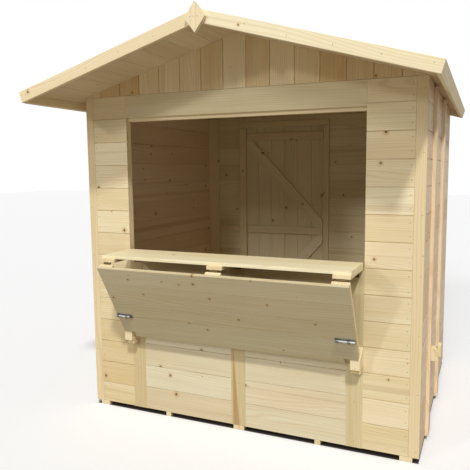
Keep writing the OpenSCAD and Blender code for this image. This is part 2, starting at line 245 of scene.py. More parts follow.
@dataclass(frozen=True)
class Spruce:
    """Raw planed spruce: cream wood, honey-coloured late wood lines, brown knots and some heartwood."""

    name: str
    pale: str = "#efe3c0"
    honey: str = "#d9c391"
    deep: str = "#bf9a60"
    rosy: str = "#dfbf98"
    heart: str = "#a57d4a"
    knot: str = "#5d3d22"
    fibre: Noise = Noise(2.2, 1 / (9 * MM), 3.0, 0.6)
    drift: Noise = Noise(1.3, 13.0, 2.0, 0.5)
    bend: Noise = Noise(0.7, 6.0, 1.0, 0.4)
    streak: Ramp = Ramp(0.38, 0.72, 0.0, 0.32)
    cloud: Ramp = Ramp(0.3, 0.7, 0.0, 0.36)
    ring_mm: float = 11.0
    arch_mm: float = 190.0
    late: Ramp = Ramp(0.1, 1.0)
    line: float = 0.2
    band: Ramp = Ramp(-0.006, 0.002, 1.0, 0.0)
    knot_gap_mm: float = 300.0
    knot_row_mm: float = 115.0
    knot_mm: float = 9.0
    speck_mm: float = 0.5
    knot_from: float = 0.55
    knot_stray: float = 0.95
    halo: Ramp = Ramp(0.9, 3.2, 0.55, 0.0)
    core: Ramp = Ramp(0.6, 1.1, 0.85, 0.0)
    matt: Ramp = Ramp(0.3, 0.7, 0.56, 0.7)
    bump: float = 0.25
    bump_mm: float = 0.6
    specular: float = 0.3

    @cache
    def material(self) -> bpy.types.Material:
        """Builds the material once: tones and lines from the board's own marks, then its roughness."""
        mat, tree, shader = blank(self.name)
        grain = add_node(tree, "Attribute", attribute_name="grain").outputs["Vector"]
        tone = add_node(tree, "Attribute", attribute_name="tone").outputs["Vector"]
        level = add_node(tree, "SeparateXYZ", {"Vector": tone}).outputs
        # fibre streaks half a metre long and 9 mm wide, a slow drift of tone, and what bends the late wood
        fibre, drift, bend = (add_node(tree, "TexNoise", {
            "Vector": add_node(tree, "Mapping", {"Vector": grain}, {"Scale": noise.scale})},
            noise.sockets).outputs["Fac"] for noise in (self.fibre, self.drift, self.bend))
        streak = add_node(tree, "MapRange", {"Value": fibre}, self.streak.sockets)
        cloud = add_node(tree, "MapRange", {"Value": drift}, self.cloud.sockets)
        honey = add_node(tree, "Math", {0: streak, 1: cloud}, operation="ADD")
        toned = add_node(tree, "Math", {0: honey, 1: level["X"]}, operation="ADD", use_clamp=True)
        wood = add_node(tree, "Mix", {"Factor": toned}, {
            MIX_A: linear(self.pale), MIX_B: linear(self.honey)}, data_type="RGBA").outputs[MIX_OUT]
        lines, band = self.late_wood(tree, grain, bend), self.heartwood(tree, level["Y"])
        halo, core = self.knots(tree, grain)
        for share, colour in ((level["Z"], self.rosy), (lines, self.deep), (band, self.heart),
                              (halo, self.deep), (core, self.knot)):
            wood = add_node(tree, "Mix", {"Factor": share, MIX_A: wood}, {MIX_B: linear(colour)},
                            data_type="RGBA").outputs[MIX_OUT]
        matt = add_node(tree, "MapRange", {"Value": fibre}, self.matt.sockets)
        bump = add_node(tree, "Bump", {"Height": fibre},
                        {"Strength": self.bump, "Distance": self.bump_mm * MM})
        tree.links.new(wood, shader.inputs["Base Color"])
        tree.links.new(matt.outputs[0], shader.inputs["Roughness"])
        tree.links.new(bump.outputs[0], shader.inputs["Normal"])
        shader.inputs["Specular IOR Level"].default_value = self.specular
        return mat

    def late_wood(self, tree: bpy.types.NodeTree, grain: bpy.types.NodeSocket,
                  bend: bpy.types.NodeSocket) -> bpy.types.NodeSocket:
        """Draws lines along the board, bent into arches, and wider than the real 3 mm so that they show.

        Args:
            tree: The material's node tree.
            grain: Place in the wood.
            bend: The field that bends the lines.

        Returns:
            How strong the line is.
        """
        side = add_node(tree, "SeparateXYZ", {"Vector": grain}).outputs["Y"]
        sweep = add_node(tree, "Math", {0: bend}, {1: self.arch_mm * MM}, operation="MULTIPLY")
        where = add_node(tree, "Math", {0: side, 1: sweep}, operation="ADD")
        rate = 2 * math.pi / (self.ring_mm * MM)
        turns = add_node(tree, "Math", {0: where}, {1: rate}, operation="MULTIPLY")
        wave = add_node(tree, "Math", {0: turns}, operation="SINE")
        late = add_node(tree, "MapRange", {"Value": wave}, self.late.sockets,
                        interpolation_type="SMOOTHSTEP")
        return add_node(tree, "Math", {0: late}, {1: self.line}, operation="MULTIPLY").outputs[0]

    def heartwood(self, tree: bpy.types.NodeTree, dark: bpy.types.NodeSocket) -> bpy.types.NodeSocket:
        """Draws a brown band along the board that widens towards one end.

        Args:
            tree: The material's node tree.
            dark: How dark the band is.

        Returns:
            How strong the band is.
        """
        spot, pith = (add_node(tree, "SeparateXYZ", {
            "Vector": add_node(tree, "Attribute", attribute_name=name).outputs["Vector"]}).outputs
            for name in ("spot", "pith"))
        flare = add_node(tree, "Math", {0: spot["X"], 1: pith["Z"]}, operation="MULTIPLY")
        half = add_node(tree, "Math", {0: pith["Y"], 1: flare}, operation="SUBTRACT")
        middle = add_node(tree, "Math", {0: pith["X"], 1: flare}, operation="ADD")
        aside = add_node(tree, "Math", {0: spot["Y"], 1: middle}, operation="SUBTRACT")
        apart = add_node(tree, "Math", {0: aside}, operation="ABSOLUTE")
        over = add_node(tree, "Math", {0: apart, 1: half}, operation="SUBTRACT")
        band = add_node(tree, "MapRange", {"Value": over}, self.band.sockets,
                        interpolation_type="SMOOTHSTEP")
        return add_node(tree, "Math", {0: band, 1: dark}, operation="MULTIPLY").outputs[0]

    def knots(self, tree: bpy.types.NodeTree, grain: bpy.types.NodeSocket) -> list[bpy.types.NodeSocket]:
        """Draws one knot in each long cell of the board, most of them too small to see.

        Args:
            tree: The material's node tree.
            grain: Place in the wood.

        Returns:
            How strong the halo and the core are.
        """
        long, wide = self.knot_gap_mm * MM, self.knot_row_mm * MM
        at = add_node(tree, "Mapping", {"Vector": grain}, {"Scale": (1 / long, 1 / wide, 0.0)})
        cells = add_node(tree, "TexVoronoi", {"Vector": at}, {"Scale": 1.0, "Randomness": self.knot_stray},
                         voronoi_dimensions="2D").outputs
        off = add_node(tree, "VectorMath", {0: at, 1: cells["Position"]}, operation="SUBTRACT")
        real = add_node(tree, "VectorMath", {0: off}, {1: (long, wide, 0.0)}, operation="MULTIPLY")
        far = add_node(tree, "VectorMath", {0: real}, operation="LENGTH").outputs["Value"]
        pick = add_node(tree, "SeparateColor", {"Color": cells["Color"]}).outputs["Red"]
        sizes = Ramp(self.knot_from, 1.0, self.speck_mm * MM, self.knot_mm * MM)
        size = add_node(tree, "MapRange", {"Value": pick}, sizes.sockets)
        near = add_node(tree, "Math", {0: far, 1: size}, operation="DIVIDE")
        return [add_node(tree, "MapRange", {"Value": near}, ramp.sockets,
                         interpolation_type="SMOOTHSTEP").outputs[0] for ramp in (self.halo, self.core)]


@dataclass(frozen=True)
class ZincSteel:
    """Hot-galvanised steel: grey metal with a faint mottle of zinc crystals, duller in patches."""

    name: str = "hot_dip_galvanised_steel"
    bright: str = "#9da1a3"
    dull: str = "#83888b"
    spangle_mm: float = 6.0
    metallic: float = 0.9
    matt: Ramp = Ramp(0.0, 1.0, 0.42, 0.6)

    @cache
    def material(self) -> bpy.types.Material:
        """Builds the material once: each crystal has its own grey and its own roughness."""
        mat, tree, shader = blank(self.name)
        coords = add_node(tree, "TexCoord").outputs["Object"]
        spangle = add_node(tree, "TexVoronoi", {"Vector": coords},
                           {"Scale": 1 / (self.spangle_mm * MM), "Randomness": 1.0}).outputs["Color"]
        pick = add_node(tree, "SeparateColor", {"Color": spangle}).outputs
        colour = add_node(tree, "Mix", {"Factor": pick["Red"]},
                          {MIX_A: linear(self.bright), MIX_B: linear(self.dull)}, data_type="RGBA")
        matt = add_node(tree, "MapRange", {"Value": pick["Green"]}, self.matt.sockets)
        tree.links.new(colour.outputs[MIX_OUT], shader.inputs["Base Color"])
        tree.links.new(matt.outputs[0], shader.inputs["Roughness"])
        shader.inputs["Metallic"].default_value = self.metallic
        return mat


Finish = Spruce | ZincSteel
# planed spruce in a tone for each group of boards: cream on the counter and the roof's edges, greyer below;
# the flap's boards are darker as painted shade
WALL_BOARD = Spruce("spruce_wall_boards")
LOWER_BOARD = Spruce("spruce_lower_boards", pale="#e2d9bc", honey="#cbb98f")
GABLE_BOARD = Spruce("spruce_gable_boards", pale="#ecdcb4", honey="#d6b984")
SIDE_BOARD = Spruce("spruce_side_boards", pale="#f6e3c9", honey="#e4c8a4")
ROOF_BOARD = Spruce("spruce_roof_boards", pale="#e8d8b6", honey="#d1b78f")
TRIM = Spruce("spruce_trim", pale="#eedfb9", honey="#dac38f", knot_gap_mm=560.0, knot_mm=7.0)
SIDE_TRIM = Spruce("spruce_side_battens", pale="#f8e6c8", honey="#e8cda4", knot_gap_mm=560.0, knot_mm=7.0)
ROOF_TRIM = Spruce("spruce_roof_trim", pale="#f6eac7", honey="#ead6a4", knot_gap_mm=480.0, knot_mm=8.0)
CORNER = Spruce("spruce_corner_strips", pale="#e6d3aa", honey="#cfb27e", knot_gap_mm=560.0, knot_mm=7.0)
STRIP = Spruce("spruce_upright_strips", pale="#d6c89e", honey="#c0a776", knot_gap_mm=600.0)
HEADER = Spruce("spruce_header_board", pale="#e8debd", honey="#d6c497", knot_gap_mm=420.0, knot_mm=7.0)
COUNTER = Spruce("spruce_counter_boards", pale="#f6eecb", honey="#e5d6a2", knot_gap_mm=420.0, knot_mm=7.0)
# painted shade: the same spruce as the counter, made darker because the flap's face leans down, away from
# the light
FLAP_BOARD_IN_PAINTED_SHADE = Spruce("spruce_flap_boards", pale="#cfc7a8", honey="#baac84", line=0.32, knot_gap_mm=105.0,
                    knot_mm=7.0)
# zinc on steel: grey on the door and the bolts, yellow zinc on the leaf hinges darkened to brown as painted
# shade, dull on nails
STEEL = ZincSteel()
# partly painted shade: the hinges sit in the fold's shade, so their yellow zinc is darkened to a brown like
# shaded wood
HINGE_STEEL_IN_PAINTED_SHADE = ZincSteel("yellow_zinc_hinges", bright="#85704b", dull="#665538")
BOLT_PLATE = ZincSteel("galvanised_bolt_plates", bright="#8b8a87", dull="#6d6c69")
BOLT_ROD = ZincSteel("galvanised_bolt_rods", bright="#c8caca", dull="#aaadad", metallic=0.5)
NAIL = ZincSteel("steel_nail_heads", bright="#877a66", dull="#6a5f50", spangle_mm=2.0)


@dataclass(frozen=True)
class Cut:
    """A saw cut: what lies on the side that the normal points to is taken off."""

    point: Triple
    normal: Triple


@dataclass
class Workshop:
    """Makes boards: each size is modelled once by hand tools, then copied, placed and joined."""

    chance: random.Random = field(default_factory=lambda: random.Random(16))
    stock: dict[tuple, bpy.types.Mesh] = field(default_factory=dict)
    heads: list[bpy.types.Object] = field(default_factory=list)
    joint_deep: float = 5.5
    narrowest: float = 20.0
    grain_shift: Triple = (40.0, 40.0, 4.0)
    rosy: Pair = (-0.3, 0.2)
    pith: tuple[Pair, Pair, Pair] = ((-45.0, 45.0), (6.0, 22.0), (-12.0, 12.0))
    heart: Pair = (0.08, 0.28)
    heart_share: float = 1 / 6
    rod_sides: int = 20
    rod_rounds: int = 2
    smooth_deg: float = 40.0
    nail_sides: int = 8
    nail_r: float = 2.0
    nail_long: float = 1.0
    nail_sunk: float = 0.1
    nail_rim: float = 0.6
    nail_dish: float = 0.2
    nail_place: float = 0.25
    nail_stray: Pair = (6.0, 3.0)

    def model(self, size: Triple, groove: float, ease: float) -> bpy.types.Mesh:
        """Models one board lying along X with its show face up.

        Args:
            size: Length, width and thickness in metres.
            groove: Width of the rebate along the long edges of both faces, which leaves a dark joint, or 0.
            ease: Width of the small bevel on the edges.

        Returns:
            The board's mesh.
        """
        key = tuple(round(v, 5) for v in (*size, groove, ease))
        if key in self.stock:
            return self.stock[key]
        deep = min(self.joint_deep * MM, size[2] / 3) if groove > 0 else 0.0
        bpy.ops.object.select_all(action="DESELECT")
        bpy.ops.mesh.primitive_cube_add(size=1.0)
        obj = bpy.context.active_object
        obj.scale = (size[0], size[1], size[2] - 2 * deep)
        bpy.ops.object.transform_apply(location=False, rotation=False, scale=True)
        bpy.ops.object.mode_set(mode="EDIT")
        if groove > 0:
            inner = size[1] / 2 - groove
            for place in (-inner, inner):
                bpy.ops.mesh.select_all(action="SELECT")
                bpy.ops.mesh.bisect(plane_co=(0, place, 0), plane_no=(0, 1, 0))
            self.pick(obj, Pick.FACE,
                      lambda f: abs(f.normal.z) > FACING and abs(f.calc_center_median().y) < inner)
            bpy.ops.mesh.inset(thickness=0.0, depth=deep, use_individual=True)
            top = size[2] / 2 - TOLERANCE
            self.pick(obj, Pick.EDGE, lambda e: min(abs(v.co.z) for v in e.verts) > top)
        else:
            bpy.ops.mesh.select_mode(type="EDGE")
            bpy.ops.mesh.select_all(action="SELECT")
        if ease > 0:
            bpy.ops.mesh.bevel(offset=ease, offset_type="OFFSET", segments=1, affect="EDGES")
        bpy.ops.object.mode_set(mode="OBJECT")
        mesh = obj.data.copy()
        bpy.data.objects.remove(obj)
        self.stock[key] = mesh
        return mesh

    @staticmethod
    def pick(obj: bpy.types.Object, kind: Pick,
             wanted: Callable[[bmesh.types.BMFace | bmesh.types.BMEdge], bool]) -> None:
        """Selects the faces or the edges in edit mode that pass the test.

        Args:
            obj: The object in edit mode.
            kind: Faces or edges.
            wanted: Test on one of them, by its normal or its place.
        """
        bpy.ops.mesh.select_mode(type=kind.name)
        edit = bmesh.from_edit_mesh(obj.data)
        for item in (*edit.verts, *edit.edges, *edit.faces):
            item.select = False
        for item in getattr(edit, kind.value):
            if wanted(item):
                item.select_set(True)
        bmesh.update_edit_mesh(obj.data)

    def board(self, low: Triple, high: Triple, grain: Axis, face: Face, frame_at: Optional[Matrix] = None,
              groove: float = 0.0, ease: float = 1.2, tone: float = 0.0, spread: float = 0.3,
              heart: float = 0.0, pith: Optional[Triple] = None,
              cuts: Sequence[Cut] = ()) -> bpy.types.Object:
        """Cuts one board and puts it in place.

        Args:
            low: Lowest corner of its box, in millimetres in the frame.
            high: Highest corner of its box.
            grain: Direction of the grain in the frame.
            face: Side that shows.
            frame_at: The frame, or None for the wall frame.
            groove: Rebate along the long edges of both faces, in millimetres.
            ease: Bevel on the edges, in millimetres.
            tone: How much more honey-coloured than pale it is.
            spread: How much the tone varies by chance.
            heart: How dark its band of heartwood is, where pith is given.
            pith: The band's place across the board, half its width and how much it widens in a metre, or
                None for a faint band by chance on a few boards.
            cuts: Saw cuts in the same frame.

        Returns:
            The board as an object at the origin.
        """
        frame_at = STALL.wall if frame_at is None else frame_at
        low, high = Vector(low), Vector(high)
        up = Vector(face.value)
        along = Vector([1.0 if i == grain.value else 0.0 for i in range(3)])
        side = up.cross(along)
        if not side.length:
            raise ValueError("the grain cannot run out of the side that shows")
        span = high - low
        size = tuple(abs(span.dot(v)) * MM for v in (along, side, up))
        mesh = self.model(size, groove * MM, ease * MM).copy()
        shift = Vector([self.chance.uniform(0, reach) for reach in self.grain_shift])
        level = tone + self.chance.uniform(-spread, spread)
        rosy = max(0.0, self.chance.uniform(*self.rosy))
        if pith is None:
            pith = tuple(self.chance.uniform(*ends) for ends in self.pith)
            heart = self.chance.uniform(*self.heart) if self.chance.random() < self.heart_share else 0.0
        for name, place in (("grain", lambda v: v.co + shift), ("spot", lambda v: v.co),
                            ("tone", lambda v: (level, heart, rosy)),
                            ("pith", lambda v: Vector(pith) * MM)):
            marks = mesh.attributes.new(name, "FLOAT_VECTOR", "POINT")
            marks.data.foreach_set("vector", [c for v in mesh.vertices for c in place(v)])
        turn = Matrix((along, side, up)).transposed().to_4x4()
        mesh.transform(frame_at @ Matrix.Translation((low + high) / 2) @ turn @ Matrix.Scale(1 / MM, 4))
        obj = bpy.data.objects.new("board", mesh)
        bpy.context.scene.collection.objects.link(obj)
        for cut in cuts:
            self.saw(obj, frame_at, cut)
        return obj

    @staticmethod
    def saw(obj: bpy.types.Object, frame_at: Matrix, cut: Cut) -> None:
        """Cuts a board along a plane and closes the cut.

        Args:
            obj: The board.
            frame_at: The frame that the cut is given in.
            cut: The plane.
        """
        bpy.ops.object.select_all(action="DESELECT")
        bpy.context.view_layer.objects.active = obj
        obj.select_set(True)
        bpy.ops.object.mode_set(mode="EDIT")
        bpy.ops.mesh.select_all(action="SELECT")
        bpy.ops.mesh.bisect(plane_co=frame_at @ Vector(cut.point),
                            plane_no=(frame_at.to_3x3() @ Vector(cut.normal)).normalized(),
                            use_fill=True, clear_outer=True)
        bpy.ops.object.mode_set(mode="OBJECT")

    def rod(self, radius: float, length: float, at: Matrix, ease: float) -> bpy.types.Object:
        """Turns one round bar along X with eased ends.

        Args:
            radius: Its radius in millimetres.
            length: Its length.
            at: Its place, as a matrix that turns millimetres into metres.
            ease: Bevel at both ends.

        Returns:
            The bar as an object at the origin.
        """
        bpy.ops.object.select_all(action="DESELECT")
        bpy.ops.mesh.primitive_cylinder_add(vertices=self.rod_sides, radius=radius, depth=length,
                                            rotation=(0, math.pi / 2, 0))
        bar = bpy.context.active_object
        bpy.ops.object.transform_apply(location=False, rotation=True, scale=False)
        bpy.ops.object.mode_set(mode="EDIT")
        self.pick(bar, Pick.EDGE, lambda e: e.verts[0].co.x * e.verts[1].co.x > 0)
        bpy.ops.mesh.bevel(offset=ease, offset_type="OFFSET", segments=self.rod_rounds, affect="EDGES")
        bpy.ops.object.mode_set(mode="OBJECT")
        bpy.ops.object.shade_smooth_by_angle(angle=math.radians(self.smooth_deg))
        bar.data.transform(at)
        return bar

    def nail(self, spot: Triple, face: Face, frame_at: Optional[Matrix] = None) -> None:
        """Drives one nail flush into a board and keeps its head for the next finish.

        Args:
            spot: Where the head is, in millimetres in the frame.
            face: The side that it is driven into.
            frame_at: The frame, or None for the wall frame.
        """
        frame_at = STALL.wall if frame_at is None else frame_at
        if "nail" not in self.stock:
            bpy.ops.object.select_all(action="DESELECT")
            bpy.ops.mesh.primitive_cylinder_add(vertices=self.nail_sides, radius=self.nail_r,
                                                depth=self.nail_long, location=(0, 0, -self.nail_sunk))
            head = bpy.context.active_object
            bpy.ops.object.transform_apply(location=True, rotation=False, scale=False)
            bpy.ops.object.mode_set(mode="EDIT")
            self.pick(head, Pick.FACE, lambda f: f.normal.z > FACING)
            bpy.ops.mesh.inset(thickness=self.nail_rim, depth=-self.nail_dish)
            bpy.ops.object.mode_set(mode="OBJECT")
            self.stock["nail"] = head.data.copy()
            bpy.data.objects.remove(head)
        mesh = self.stock["nail"].copy()
        turn = Vector(face.value).to_track_quat("Z", "Y").to_matrix().to_4x4()
        mesh.transform(frame_at @ Matrix.Translation(spot) @ turn)
        head = bpy.data.objects.new("nail", mesh)
        bpy.context.scene.collection.objects.link(head)
        self.heads.append(head)

    def row(self, low: Triple, high: Triple, across: Axis, grain: Axis, face: Face, joints: Sequence[float],
            nails: Sequence[float] = (), groove: float = JOINT, **more: object) -> list[bpy.types.Object]:
        """Cuts a row of tongued boards that fills a box.

        Args:
            low: Lowest corner of the box, in millimetres.
            high: Highest corner of the box.
            across: Direction in which the boards follow each other.
            grain: Direction of the grain.
            face: Side that shows.
            joints: Places of the joints along the across direction; those outside the box are left out.
            nails: Places along the grain where each board has two nails in its show face.
            groove: Rebate along the long edges, in millimetres.
            more: Passed on to board.

        Returns:
            The boards.
        """
        i, room = across.value, self.narrowest
        marks = [low[i], *sorted(j for j in joints if low[i] + room < j < high[i] - room), high[i]]
        boards = []
        for start, end in zip(marks, marks[1:]):
            a, b = list(low), list(high)
            a[i], b[i] = start, end
            boards.append(self.board(tuple(a), tuple(b), grain, face, groove=groove, ease=CRISP, **more))
            inset = self.nail_place * (end - start)
            for place in nails:
                for side in (start + inset, end - inset):
                    spot = [b[k] if face.value[k] > 0 else a[k] for k in range(3)]
                    for axis, mean, stray in zip((i, grain.value), (side, place), self.nail_stray):
                        spot[axis] = mean + self.chance.uniform(-stray, stray)
                    self.nail(tuple(spot), face, more.get("frame_at"))
        return boards

    def finish(self, name: str, boards: Sequence[bpy.types.Object], coat: Finish, body: str,
               *nodes: str) -> bpy.types.Object:
        """Joins boards into one piece, dresses it and lets it ride.

        Args:
            name: The piece's name.
            boards: Its boards.
            coat: Its finish.
            body: The body that it rides on.
            nodes: The nodes that it stands for.

        Returns:
            The piece.
        """
        bpy.ops.object.select_all(action="DESELECT")
        for obj in boards:
            obj.select_set(True)
        bpy.context.view_layer.objects.active = boards[0]
        if len(boards) > 1:
            bpy.ops.object.join()
        obj = bpy.context.view_layer.objects.active
        obj.name = name
        obj.data.name = name
        obj.data.materials.clear()
        obj.data.materials.append(coat.material())
        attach(obj, body)
        if nodes:
            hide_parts(*nodes)
        LOG.info("%s: %d solids on %s", name, len(boards), body)
        if self.heads:
            heads, self.heads = self.heads, []
            self.finish(f"{name}_nails", heads, NAIL, body)
        return obj


def steps(start: float, pitch: float, count: int = 40) -> list[float]:
    """Places at an even pitch, downwards from the start."""
    return [start - k * pitch for k in range(count)]


@dataclass(frozen=True)
class NailRow:
    """Nails along a board: the first one's distance from the board's end, their pitch and their number."""

    drop: float
    pitch: float
    count: int

    def back_from(self, end: float) -> list[float]:
        """Places of the nails, back from the board's end."""
        return steps(end - self.drop, self.pitch, self.count)


@dataclass
class FrontWall:
    """Boarded front: side panels, lower panel between three strips, header, gable and corner strips."""

    shop: Workshop
    left_joint: float = 1787.0
    upper_boards: int = 6
    lower_left_shade_tone: float = 0.4
    lower_joint: float = 1800.0
    fine_groove: float = 1.0
    gable_joint: float = 877.0
    gable_pitch: float = 135.5
    gable_in: float = 1.0
    gable_last: float = 960.0
    gable_seat: float = 0.4
    gable_tone: float = 0.15
    gable_spread: float = 0.55
    strip_w: float = 88.0
    strip_looks: tuple[Pair, Pair, Pair] = ((0.0, 0.35), (0.65, 0.15), (0.08, 0.0))
    heartwood: Triple = (33.0, 2.0, 42.0)
    nail_in: float = 15.0
    corner_nails: NailRow = NailRow(60.0, 300.0, 7)
    strip_nails: NailRow = NailRow(50.0, 215.0, 5)
    jamb_w: float = 45.0
    lath_t: float = 27.0
    lath_up: float = 25.0
    lath_down: float = 20.0

    def build(self) -> None:
        """Builds the front wall."""
        self.panels()
        self.gable("front_gable_boards", 0, Face.FRONT, "front_gable")
        self.strips()
        self.laths()

    def panels(self) -> None:
        """Builds the boards beside, below and over the hatch; those at the lower left are more honey, as
        painted shade.
        """
        s, shop = STALL, self.shop
        t, far = s.board, s.panel_x - self.nail_in
        knee = self.left_joint - self.upper_boards * s.pitch
        left = []
        # painted shade: the lower left boards get a more honey tone, so that they read darker than the
        # boards above
        for z0, z1, tone in ((s.joist, knee, self.lower_left_shade_tone), (knee, s.high, 0.0)):
            left += shop.row((-s.panel_x, 0, z0), (-s.open_x, t, z1), Axis.Z, Axis.X, Face.FRONT,
                             steps(self.left_joint, s.pitch), nails=(-far,), tone=tone)
        shop.finish("front_left_boards", left, WALL_BOARD, "stall", "front_left_panel")
        right = shop.row((s.open_x, 0, s.joist), (s.panel_x, t, s.high), Axis.Z, Axis.X, Face.FRONT,
                         steps(s.joint, s.pitch), nails=(far,))
        shop.finish("front_right_boards", right, WALL_BOARD, "stall", "front_right_panel")
        lower = []
        for side in (-1, 1):
            a, b = sorted((side * self.strip_w / 2, side * (s.open_x - self.strip_w)))
            lower += shop.row((a, 0, s.joist), (b, t, s.sill), Axis.Z, Axis.X, Face.FRONT,
                              steps(self.lower_joint, s.pitch), groove=self.fine_groove)
        shop.finish("front_lower_boards", lower, LOWER_BOARD, "stall", "front_lower_panel")
        header = [shop.board((-s.open_x, 0, s.head), (s.open_x, t, s.high), Axis.X, Face.FRONT,
                             groove=self.fine_groove, pith=NO_PITH)]
        shop.finish("header_board", header, HEADER, "stall", "front_header")

    def gable(self, name: str, y0: float, face: Face, node: str) -> None:
        """Builds the upright boards of one gable.

        Args:
            name: The piece's name.
            y0: Where the boards start in depth.
            face: The side that shows.
            node: The node that it stands for.
        """
        s = STALL
        edge = s.half - self.gable_in
        joints = [x for x in steps(self.gable_joint, self.gable_pitch) if abs(x) < self.gable_last]
        marks = [-edge, *sorted(joints), edge]
        boards = []
        for x0, x1 in zip(marks, marks[1:]):
            near = 0.0 if x0 < 0 < x1 else min(abs(x0), abs(x1))
            top = s.apex_under - near * math.tan(s.lean)
            cuts = [Cut((0, 0, s.apex_under - self.gable_seat), (k * math.sin(s.lean), 0, math.cos(s.lean)))
                    for k in (-1, 1) if (x0 < 0 if k < 0 else x1 > 0)]
            boards.append(self.shop.board(
                (x0, y0, s.high), (x1, y0 + s.board, top), Axis.Z, face, groove=JOINT, ease=CRISP,
                tone=self.gable_tone, spread=self.gable_spread, cuts=cuts))
        self.shop.finish(name, boards, GABLE_BOARD, "stall", node)

    def strips(self) -> None:
        """Builds the corner strips and the three strips below the sill, the middle one with heartwood."""
        s, shop = STALL, self.shop
        t, half = s.board, self.strip_w / 2
        corners = [shop.board((x0, 0, s.joist), (x0 + s.half - s.panel_x, t, s.high), Axis.Z, Face.FRONT,
                              ease=ROUND) for x0 in (-s.half, s.panel_x)]
        for x in (-s.half + self.nail_in, s.half - self.nail_in):
            for z in self.corner_nails.back_from(s.high):
                shop.nail((x, 0, z), Face.FRONT)
        shop.finish("corner_strip_boards", corners, CORNER, "stall", "corner_strips")
        uprights = []
        reach = s.open_x - half
        for x, (dark, tone) in zip((-reach, 0, reach), self.strip_looks):
            uprights.append(shop.board((x - half, 0, s.joist), (x + half, t, s.sill), Axis.Z, Face.FRONT,
                                       ease=CRISP, tone=tone, heart=dark, pith=self.heartwood))
            for z in self.strip_nails.back_from(s.sill):
                shop.nail((x, 0, z), Face.FRONT)
        shop.finish("sill_strip_boards", uprights, STRIP, "stall", "front_strips")

    def laths(self) -> None:
        """Builds the laths behind the boards, at both sides of the hatch and over it."""
        s, shop = STALL, self.shop
        y0, y1, top = s.board, s.board + self.lath_t, s.head + self.lath_up
        jambs = []
        for side in (-1, 1):
            a, b = sorted((side * s.open_x, side * (s.open_x + self.jamb_w)))
            jambs.append(shop.board((a, y0, s.sill), (b, y1, top), Axis.Z, Face.BACK, ease=EASED))
        shop.finish("jamb_laths", jambs, ROOF_TRIM, "stall", "jamb_battens")
        lath = [shop.board((-s.open_x, y0, s.head - self.lath_down), (s.open_x, y1, top), Axis.X,
                           Face.FRONT, ease=EASED)]
        shop.finish("head_lath_board", lath, TRIM, "stall", "head_lath")


@dataclass
class SideWalls:
    """The two side walls with their upright battens."""

    shop: Workshop
    nail_in: float = 25.0
    batten_w: float = 90.0
    batten_t: float = 20.0
    batten_at: Pair = (264.0, 840.0)
    batten_drop: float = 20.0
    batten_nails: NailRow = NailRow(80.0, 290.0, 7)

    def build(self) -> None:
        """Builds both side walls."""
        s, shop = STALL, self.shop
        for side, name, face in ((-1, "left", Face.LEFT), (1, "right", Face.RIGHT)):
            a, b = sorted((side * s.inner, side * s.half))
            boards = shop.row((a, s.board, s.joist), (b, s.back, s.high), Axis.Z, Axis.Y, face,
                              steps(s.joint, s.pitch),
                              nails=(s.board + self.nail_in, s.back - self.nail_in))
            shop.finish(f"{name}_wall_boards", boards, SIDE_BOARD, "stall", f"{name}_wall")
        battens = []
        top = s.high - self.batten_drop
        for side, face in ((-1, Face.LEFT), (1, Face.RIGHT)):
            outer = side * (s.half + self.batten_t)
            a, b = sorted((side * s.half, outer))
            for y in self.batten_at:
                battens.append(shop.board((a, y, s.joist), (b, y + self.batten_w, top), Axis.Z, face,
                                          ease=ROUND))
                for z in self.batten_nails.back_from(s.high):
                    shop.nail((outer, y + self.batten_w / 2, z), face)
        shop.finish("side_batten_boards", battens, SIDE_TRIM, "stall", "side_battens")


